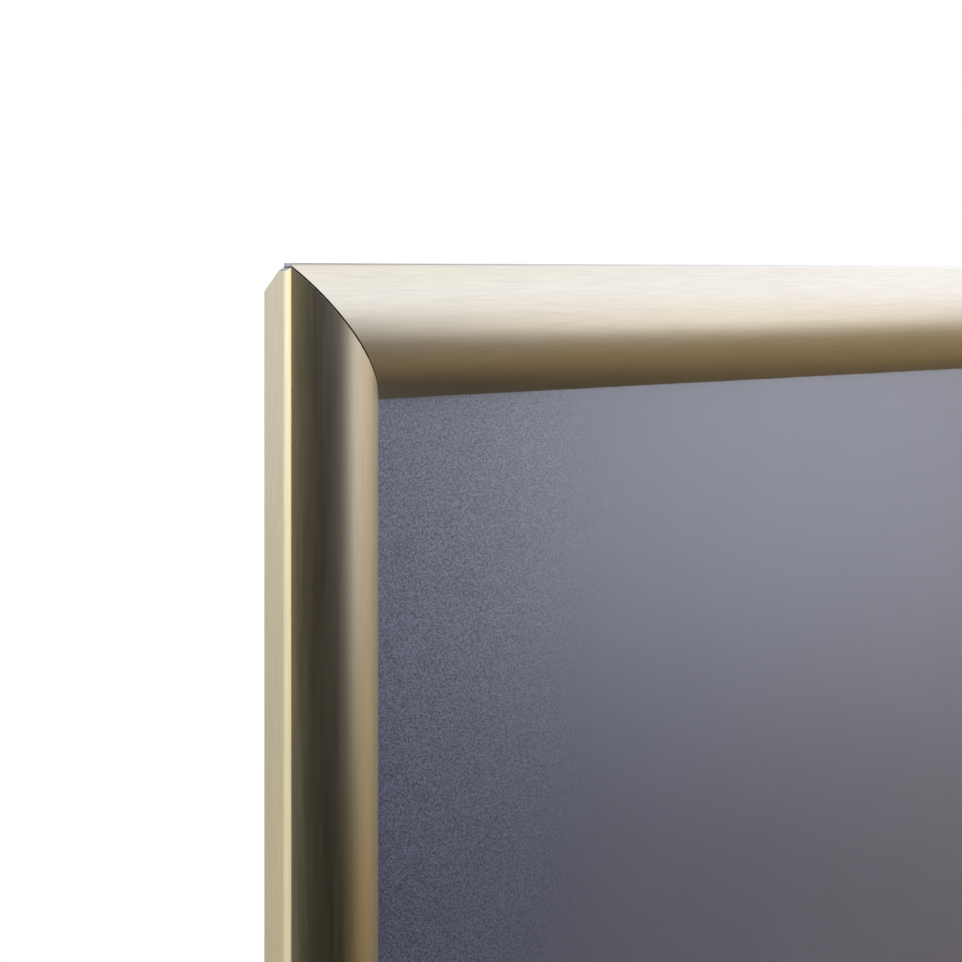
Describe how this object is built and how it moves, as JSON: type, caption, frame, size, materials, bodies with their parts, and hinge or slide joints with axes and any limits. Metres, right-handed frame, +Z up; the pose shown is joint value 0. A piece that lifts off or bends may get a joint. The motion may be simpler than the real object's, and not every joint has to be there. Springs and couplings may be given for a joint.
{
  "type": "snap-open poster frame",
  "caption": "Wall poster frame with mitred rounded metal rails that flip open on their outer edges over a clear sheet, insert and back panel.",
  "frame": {"origin": "on the wall plane, at the middle of the top base rail's back face, on the line of its screw holes", "axes": "+Z up along the frame's height, +X to the right seen from the front, +Y into the wall; the frame faces -Y"},
  "size_m": [0.327, 0.0113, 0.45],
  "materials": {
    "gold_base": "gold anodised, fine extrusion lines",
    "gold_cover": "gold anodised, brushed along the rail, bare silver at the cut ends",
    "key_zinc": "zinc plated",
    "spring_steel": "satin spring steel",
    "white_styrene": "matt white",
    "slate_insert": "plain slate card",
    "clear_film": "clear, fine anti-glare texture"
  },
  "bodies": {
    "base": {"base_rail_left": "gold_base", "base_rail_top": "gold_base", "base_rail_right": "gold_base", "base_rail_bottom": "gold_base", "corner_key_bottom_left": "key_zinc", "corner_key_top_left": "key_zinc", "corner_key_top_right": "key_zinc", "corner_key_bottom_right": "key_zinc", "leaf_spring_left_1": "spring_steel", "leaf_spring_left_2": "spring_steel", "leaf_spring_top_1": "spring_steel", "leaf_spring_top_2": "spring_steel", "leaf_spring_right_1": "spring_steel", "leaf_spring_right_2": "spring_steel", "leaf_spring_bottom_1": "spring_steel", "leaf_spring_bottom_2": "spring_steel", "back_panel": "white_styrene", "insert_sheet": "slate_insert", "clear_cover_sheet": "clear_film"},
    "cover_left": {"cover_rail_left": "gold_cover"},
    "cover_top": {"cover_rail_top": "gold_cover"},
    "cover_right": {"cover_rail_right": "gold_cover"},
    "cover_bottom": {"cover_rail_bottom": "gold_cover"}
  },
  "joints": [
    {"name": "cover_left_hinge", "type": "hinge", "parent": "base", "child": "cover_left", "pos_m": [-0.1617, -0.00385, -0.21465], "axis": [0, 0, -1], "range_deg": [0, 80], "stiffness_Nm_per_rad": 0.08, "springref_deg": -57.3, "deforming": ["leaf_spring_left_1", "leaf_spring_left_2"]},
    {"name": "cover_top_hinge", "type": "hinge", "parent": "base", "child": "cover_top", "pos_m": [0, -0.00385, 0.00855], "axis": [-1, 0, 0], "range_deg": [0, 80], "stiffness_Nm_per_rad": 0.08, "springref_deg": -57.3, "deforming": ["leaf_spring_top_1", "leaf_spring_top_2"]},
    {"name": "cover_right_hinge", "type": "hinge", "parent": "base", "child": "cover_right", "pos_m": [0.1617, -0.00385, -0.21465], "axis": [0, 0, 1], "range_deg": [0, 80], "stiffness_Nm_per_rad": 0.08, "springref_deg": -57.3, "deforming": ["leaf_spring_right_1", "leaf_spring_right_2"]},
    {"name": "cover_bottom_hinge", "type": "hinge", "parent": "base", "child": "cover_bottom", "pos_m": [0, -0.00385, -0.43785], "axis": [1, 0, 0], "range_deg": [0, 80], "stiffness_Nm_per_rad": 0.08, "springref_deg": -57.3, "deforming": ["leaf_spring_bottom_1", "leaf_spring_bottom_2"]}
  ]
}
